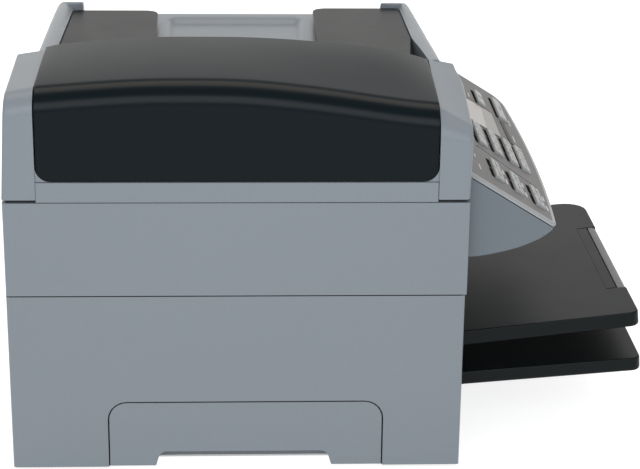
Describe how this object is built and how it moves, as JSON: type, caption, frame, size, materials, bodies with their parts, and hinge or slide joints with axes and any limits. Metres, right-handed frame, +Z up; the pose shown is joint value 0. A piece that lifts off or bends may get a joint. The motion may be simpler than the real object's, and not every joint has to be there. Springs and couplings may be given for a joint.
{
  "type": "fax machine",
  "caption": "Desktop laser fax machine with side paper cassette, top sheet feeder, sloped keypad panel and front output trays.",
  "frame": {"origin": "centre of the bounding box, on the table under the feet", "axes": "+Z up, the front with its trays and control panel faces -Y, +X is the machine's right side; the paper cassette pulls out towards -X"},
  "size_m": [0.404, 0.5795, 0.3733],
  "materials": {
    "light_shell": "fine-textured light grey ABS",
    "dark_shell": "fine-textured dark grey ABS",
    "cover_dark": "satin charcoal ABS",
    "grey_plastic": "mid grey plastic",
    "panel_grey": "matt mid grey panel",
    "key_grey": "light grey key caps",
    "black_plastic": "black plastic",
    "display": "clear window over a pale display",
    "sheet_steel": "zinc-plated sheet steel",
    "rubber": "black rubber",
    "photoconductor": "coated aluminium tube",
    "fuser_sleeve": "coated aluminium tube",
    "circuit_board": "green circuit board with parts",
    "platen_glass": "clear glass"
  },
  "bodies": {
    "frame": {"base_plate": "sheet_steel", "foot_rear_left": "rubber", "foot_front_left": "rubber", "foot_rear_right": "rubber", "foot_front_right": "rubber", "lower_housing": "light_shell", "main_housing": "light_shell", "upper_tray": "dark_shell", "lower_tray": "dark_shell", "power_inlet": "black_plastic", "jack_block": "black_plastic", "power_supply": "sheet_steel", "main_board": "circuit_board", "laser_unit": "black_plastic", "toner_cartridge": "black_plastic", "fuser_unit": "sheet_steel"},
    "rear_door": {"rear_door": "light_shell"},
    "paper_stopper": {"paper_stopper": "grey_plastic"},
    "power_switch": {"power_switch": "black_plastic"},
    "drum": {"drum": "photoconductor"},
    "transfer_roller": {"transfer_roller": "rubber"},
    "pickup_roller": {"pickup_roller": "rubber"},
    "fuser_roller": {"fuser_roller": "fuser_sleeve"},
    "pressure_roller": {"pressure_roller": "rubber"},
    "exit_roller": {"exit_roller": "rubber"},
    "cassette": {"cassette_tray": "grey_plastic", "cassette_front": "light_shell"},
    "lift_plate": {"lift_plate": "sheet_steel"},
    "end_guide": {"end_guide": "black_plastic"},
    "scanner_unit": {"scanner_housing": "light_shell", "side_strip": "light_shell", "panel_housing": "light_shell", "panel_plate": "panel_grey", "lcd_window": "display", "scan_glass": "platen_glass", "image_sensor": "black_plastic"},
    "adf_cover": {"adf_cover": "cover_dark"},
    "document_tray": {"document_tray": "dark_shell"},
    "adf_main_roller": {"adf_main_roller": "rubber"},
    "adf_feed_roller": {"adf_feed_roller": "rubber"},
    "onetouch_key_a1": {"onetouch_key_a1": "key_grey"},
    "onetouch_key_a2": {"onetouch_key_a2": "key_grey"},
    "onetouch_key_b1": {"onetouch_key_b1": "key_grey"},
    "onetouch_key_b2": {"onetouch_key_b2": "key_grey"},
    "onetouch_key_c1": {"onetouch_key_c1": "key_grey"},
    "onetouch_key_c2": {"onetouch_key_c2": "key_grey"},
    "key_1": {"key_1": "key_grey"},
    "key_2": {"key_2": "key_grey"},
    "key_3": {"key_3": "key_grey"},
    "key_4": {"key_4": "key_grey"},
    "key_5": {"key_5": "key_grey"},
    "key_6": {"key_6": "key_grey"},
    "key_7": {"key_7": "key_grey"},
    "key_8": {"key_8": "key_grey"},
    "key_9": {"key_9": "key_grey"},
    "key_star": {"key_star": "key_grey"},
    "key_0": {"key_0": "key_grey"},
    "key_hash": {"key_hash": "key_grey"},
    "start_key": {"start_key": "key_grey"},
    "stop_key": {"stop_key": "key_grey"}
  },
  "joints": [
    {"name": "cassette_slide", "type": "slide", "parent": "frame", "child": "cassette", "axis": [-1, 0, 0], "range_m": [0, 0.25]},
    {"name": "lift_plate_hinge", "type": "hinge", "parent": "cassette", "child": "lift_plate", "pos_m": [-0.031, -0.0178, 0.01205], "axis": [1, 0, 0], "range_deg": [0, 10]},
    {"name": "end_guide_slide", "type": "slide", "parent": "cassette", "child": "end_guide", "axis": [1, 0, 0], "range_m": [0, 0.018]},
    {"name": "scanner_unit_hinge", "type": "hinge", "parent": "frame", "child": "scanner_unit", "pos_m": [0, 0.2892, 0.2604], "axis": [-1, 0, 0], "range_deg": [0, 45]},
    {"name": "adf_cover_hinge", "type": "hinge", "parent": "scanner_unit", "child": "adf_cover", "pos_m": [-0.2, 0.0862, 0.2766], "axis": [0, -1, 0], "range_deg": [0, 80]},
    {"name": "document_tray_hinge", "type": "hinge", "parent": "scanner_unit", "child": "document_tray", "pos_m": [-0.065, 0.0862, 0.351], "axis": [0, -1, 0], "range_deg": [0, 45]},
    {"name": "paper_stopper_hinge", "type": "hinge", "parent": "frame", "child": "paper_stopper", "pos_m": [-0.006, -0.26785, 0.13005], "axis": [-1, 0, 0], "range_deg": [0, 95]},
    {"name": "rear_door_hinge", "type": "hinge", "parent": "frame", "child": "rear_door", "pos_m": [0.1413, 0.2892, 0.117], "axis": [0, 0, -1], "range_deg": [0, 100]},
    {"name": "power_switch_rocker", "type": "hinge", "parent": "frame", "child": "power_switch", "pos_m": [0.097, 0.2822, 0.035], "axis": [1, 0, 0], "range_deg": [0, 13.75]},
    {"name": "drum_spin", "type": "hinge", "parent": "frame", "child": "drum", "pos_m": [0, 0.1982, 0.124], "axis": [1, 0, 0], "continuous": true},
    {"name": "transfer_roller_spin", "type": "hinge", "parent": "frame", "child": "transfer_roller", "pos_m": [0, 0.1982, 0.0996], "axis": [1, 0, 0], "continuous": true},
    {"name": "pickup_roller_spin", "type": "hinge", "parent": "frame", "child": "pickup_roller", "pos_m": [0, 0.1712, 0.083], "axis": [1, 0, 0], "continuous": true},
    {"name": "fuser_roller_spin", "type": "hinge", "parent": "frame", "child": "fuser_roller", "pos_m": [0, 0.0082, 0.122], "axis": [1, 0, 0], "continuous": true},
    {"name": "pressure_roller_spin", "type": "hinge", "parent": "frame", "child": "pressure_roller", "pos_m": [0, 0.0082, 0.0948], "axis": [1, 0, 0], "continuous": true},
    {"name": "exit_roller_spin", "type": "hinge", "parent": "frame", "child": "exit_roller", "pos_m": [0, -0.1008, 0.122], "axis": [1, 0, 0], "continuous": true},
    {"name": "adf_main_roller_spin", "type": "hinge", "parent": "scanner_unit", "child": "adf_main_roller", "pos_m": [-0.152, 0.0862, 0.305], "axis": [0, 1, 0], "continuous": true},
    {"name": "adf_feed_roller_spin", "type": "hinge", "parent": "scanner_unit", "child": "adf_feed_roller", "pos_m": [-0.098, 0.0862, 0.326], "axis": [0, 1, 0], "continuous": true},
    {"name": "onetouch_key_a1_press", "type": "slide", "parent": "scanner_unit", "child": "onetouch_key_a1", "axis": [0.0133, 0.5299, -0.848], "range_m": [0, 0.001], "stiffness_N_per_m": 350, "springref_m": -0.0004},
    {"name": "onetouch_key_a2_press", "type": "slide", "parent": "scanner_unit", "child": "onetouch_key_a2", "axis": [0.0133, 0.5299, -0.848], "range_m": [0, 0.001], "stiffness_N_per_m": 350, "springref_m": -0.0004},
    {"name": "onetouch_key_b1_press", "type": "slide", "parent": "scanner_unit", "child": "onetouch_key_b1", "axis": [0.0133, 0.5299, -0.848], "range_m": [0, 0.001], "stiffness_N_per_m": 350, "springref_m": -0.0004},
    {"name": "onetouch_key_b2_press", "type": "slide", "parent": "scanner_unit", "child": "onetouch_key_b2", "axis": [0.0133, 0.5299, -0.848], "range_m": [0, 0.001], "stiffness_N_per_m": 350, "springref_m": -0.0004},
    {"name": "onetouch_key_c1_press", "type": "slide", "parent": "scanner_unit", "child": "onetouch_key_c1", "axis": [0.0133, 0.5299, -0.848], "range_m": [0, 0.001], "stiffness_N_per_m": 350, "springref_m": -0.0004},
    {"name": "onetouch_key_c2_press", "type": "slide", "parent": "scanner_unit", "child": "onetouch_key_c2", "axis": [0.0133, 0.5299, -0.848], "range_m": [0, 0.001], "stiffness_N_per_m": 350, "springref_m": -0.0004},
    {"name": "key_1_press", "type": "slide", "parent": "scanner_unit", "child": "key_1", "axis": [0.0133, 0.5299, -0.848], "range_m": [0, 0.001], "stiffness_N_per_m": 350, "springref_m": -0.0004},
    {"name": "key_2_press", "type": "slide", "parent": "scanner_unit", "child": "key_2", "axis": [0.0133, 0.5299, -0.848], "range_m": [0, 0.001], "stiffness_N_per_m": 350, "springref_m": -0.0004},
    {"name": "key_3_press", "type": "slide", "parent": "scanner_unit", "child": "key_3", "axis": [0.0133, 0.5299, -0.848], "range_m": [0, 0.001], "stiffness_N_per_m": 350, "springref_m": -0.0004},
    {"name": "key_4_press", "type": "slide", "parent": "scanner_unit", "child": "key_4", "axis": [0.0133, 0.5299, -0.848], "range_m": [0, 0.001], "stiffness_N_per_m": 350, "springref_m": -0.0004},
    {"name": "key_5_press", "type": "slide", "parent": "scanner_unit", "child": "key_5", "axis": [0.0133, 0.5299, -0.848], "range_m": [0, 0.001], "stiffness_N_per_m": 350, "springref_m": -0.0004},
    {"name": "key_6_press", "type": "slide", "parent": "scanner_unit", "child": "key_6", "axis": [0.0133, 0.5299, -0.848], "range_m": [0, 0.001], "stiffness_N_per_m": 350, "springref_m": -0.0004},
    {"name": "key_7_press", "type": "slide", "parent": "scanner_unit", "child": "key_7", "axis": [0.0133, 0.5299, -0.848], "range_m": [0, 0.001], "stiffness_N_per_m": 350, "springref_m": -0.0004},
    {"name": "key_8_press", "type": "slide", "parent": "scanner_unit", "child": "key_8", "axis": [0.0133, 0.5299, -0.848], "range_m": [0, 0.001], "stiffness_N_per_m": 350, "springref_m": -0.0004},
    {"name": "key_9_press", "type": "slide", "parent": "scanner_unit", "child": "key_9", "axis": [0.0133, 0.5299, -0.848], "range_m": [0, 0.001], "stiffness_N_per_m": 350, "springref_m": -0.0004},
    {"name": "key_star_press", "type": "slide", "parent": "scanner_unit", "child": "key_star", "axis": [0.0133, 0.5299, -0.848], "range_m": [0, 0.001], "stiffness_N_per_m": 350, "springref_m": -0.0004},
    {"name": "key_0_press", "type": "slide", "parent": "scanner_unit", "child": "key_0", "axis": [0.0133, 0.5299, -0.848], "range_m": [0, 0.001], "stiffness_N_per_m": 350, "springref_m": -0.0004},
    {"name": "key_hash_press", "type": "slide", "parent": "scanner_unit", "child": "key_hash", "axis": [0.0133, 0.5299, -0.848], "range_m": [0, 0.001], "stiffness_N_per_m": 350, "springref_m": -0.0004},
    {"name": "start_key_press", "type": "slide", "parent": "scanner_unit", "child": "start_key", "axis": [0.0133, 0.5299, -0.848], "range_m": [0, 0.001], "stiffness_N_per_m": 350, "springref_m": -0.0004},
    {"name": "stop_key_press", "type": "slide", "parent": "scanner_unit", "child": "stop_key", "axis": [0.0133, 0.5299, -0.848], "range_m": [0, 0.001], "stiffness_N_per_m": 350, "springref_m": -0.0004}
  ],
  "couplings": [
    {"joint": "transfer_roller_spin", "follows": "drum_spin", "ratio": -2.027},
    {"joint": "fuser_roller_spin", "follows": "drum_spin", "ratio": 1.0714},
    {"joint": "pressure_roller_spin", "follows": "drum_spin", "ratio": -1.2931},
    {"joint": "exit_roller_spin", "follows": "drum_spin", "ratio": -2.5},
    {"joint": "adf_feed_roller_spin", "follows": "adf_main_roller_spin", "ratio": 2.6667}
  ]
}
